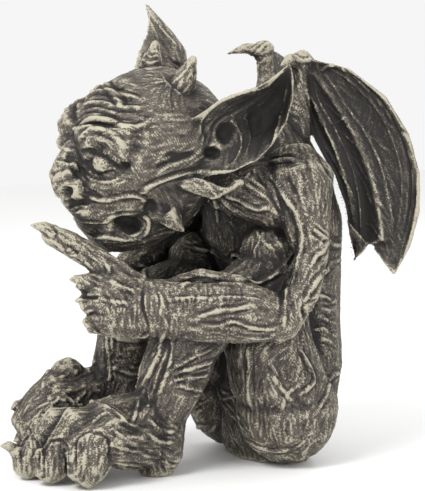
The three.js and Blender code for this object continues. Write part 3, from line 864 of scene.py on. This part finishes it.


# Dry-brushed cast finish, with painted shade in closed-in hollows and painted light on open, raised spots
def castFinishAndShade():
    paint = bpy.data.materials.new("castFinishAndShade")
    paint.use_nodes = True
    tree = paint.node_tree
    shader = tree.nodes["Principled BSDF"]
    wire = Wire(tree, None)
    where = wire.node("ShaderNodeTexCoord", {}, {}, "Object")

    def noise(scale, detail, roughness=0.5, output=0):
        values = {"Vector": where, "Scale": scale, "Detail": detail, "Roughness": roughness}
        return wire.node("ShaderNodeTexNoise", {}, values, output)

    relief = wire.node("ShaderNodeAttribute", {"attribute_name": "relief"}, {}, "Fac")
    fibre = wire.node("ShaderNodeAttribute", {"attribute_name": "fibre"}, {}, "Fac")
    # How closed in each spot is, which darkens it as painted shade
    paintedShade = 1 - wire.node("ShaderNodeAttribute", {"attribute_name": "open"}, {}, "Fac")
    pits = noise(finish["pits"], 2.0)
    speck = noise(finish["speck"], 3.0, 0.7)
    mottle = noise(finish["mottle"], 4.0, 0.6)
    bend = noise(finish["crackle"], 2.0, output=1)
    warp = (finish["warp"],) * 3
    bent = wire.node("ShaderNodeVectorMath", {"operation": "MULTIPLY_ADD"}, {0: bend, 1: warp, 2: where})
    cells = {"Vector": bent, "Scale": finish["crackle"]}
    crackle = wire.node("ShaderNodeTexVoronoi", {"feature": "DISTANCE_TO_EDGE"}, cells, 0)
    veins = 1 - crackle.ramp(0.0, 0.16)
    # Lighter on raised and open spots and darker where closed in: wear and dry brushing, together with painted
    # light and shade
    level = relief + fibre * 0.75 + (speck - 0.5) * 6 + (mottle - 0.5) * 2.2
    level = level + veins * 0.5 - paintedShade * 1.6 + 0.2
    # Darkest where closed in, which is painted shade, and in cavities, which is dark wash
    deep = (paintedShade * 2.4 - relief * 0.9 - fibre * 0.4 - (speck - 0.5) * 3).ramp(0.2, 1.9)
    wornAndLit = level.ramp(-0.6, 1.1)
    brushed = level.ramp(1.4, 2.6)
    colour = wornAndLit.mix((*finish["body"], 1), (*finish["wornAndLit"], 1))
    colour = brushed.mix(colour, (*finish["brushed"], 1))
    colour = deep.mix(colour, (*finish["hollowShadeAndWash"], 1))
    tree.links.new(colour.socket, shader.inputs["Base Color"])
    sheen = finish["dull"] - brushed * (finish["dull"] - finish["satin"])
    tree.links.new(sheen.socket, shader.inputs["Roughness"])
    height = pits * 0.5 + speck * 0.8 + veins * 0.35
    dents = {"Height": height, "Strength": finish["bump"], "Distance": finish["bumpDepth"]}
    bump = wire.node("ShaderNodeBump", {}, dents, 0)
    tree.links.new(bump.socket, shader.inputs["Normal"])
    return paint


coat = castFinishAndShade()
for piece in pieces:
    piece.data.materials.append(coat)
    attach(piece, "root")
    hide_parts("gargoyle")

# Pale floor and soft studio light
studio = dict(floor=6.0, floorColour=(0.92, 0.92, 0.915), air=0.92, key=36, fill=7, rim=8)


def addLight(name, place, size, power):
    data = bpy.data.lights.new(name, "AREA")
    data.shape = "DISK"
    data.size = size
    data.energy = power
    obj = bpy.data.objects.new(name, data)
    bpy.context.collection.objects.link(obj)
    obj.location = place
    obj.rotation_euler = (Vector((0, 0, 0.2)) - obj.location).to_track_quat("-Z", "Y").to_euler()


def addStudio():
    bpy.ops.object.select_all(action="DESELECT")
    bpy.ops.mesh.primitive_plane_add(size=studio["floor"], location=(0, 0, -0.0005))
    floor = bpy.context.object
    floor.name = "studioFloor"
    paint = bpy.data.materials.new("paleFloor")
    paint.use_nodes = True
    shader = paint.node_tree.nodes["Principled BSDF"]
    shader.inputs["Base Color"].default_value = (*studio["floorColour"], 1)
    shader.inputs["Roughness"].default_value = 0.9
    floor.data.materials.append(paint)
    world = bpy.data.worlds.new("studioAir")
    world.use_nodes = True
    world.node_tree.nodes["Background"].inputs["Color"].default_value = (1, 1, 1, 1)
    world.node_tree.nodes["Background"].inputs["Strength"].default_value = studio["air"]
    bpy.context.scene.world = world
    addLight("keyLight", (0.7, -1.5, 1.7), 0.9, studio["key"])
    addLight("fillLight", (1.9, 0.3, 0.7), 1.2, studio["fill"])
    addLight("rimLight", (-0.6, 1.4, 1.5), 0.8, studio["rim"])


addStudio()
bpy.context.scene.view_settings.view_transform = "Standard"
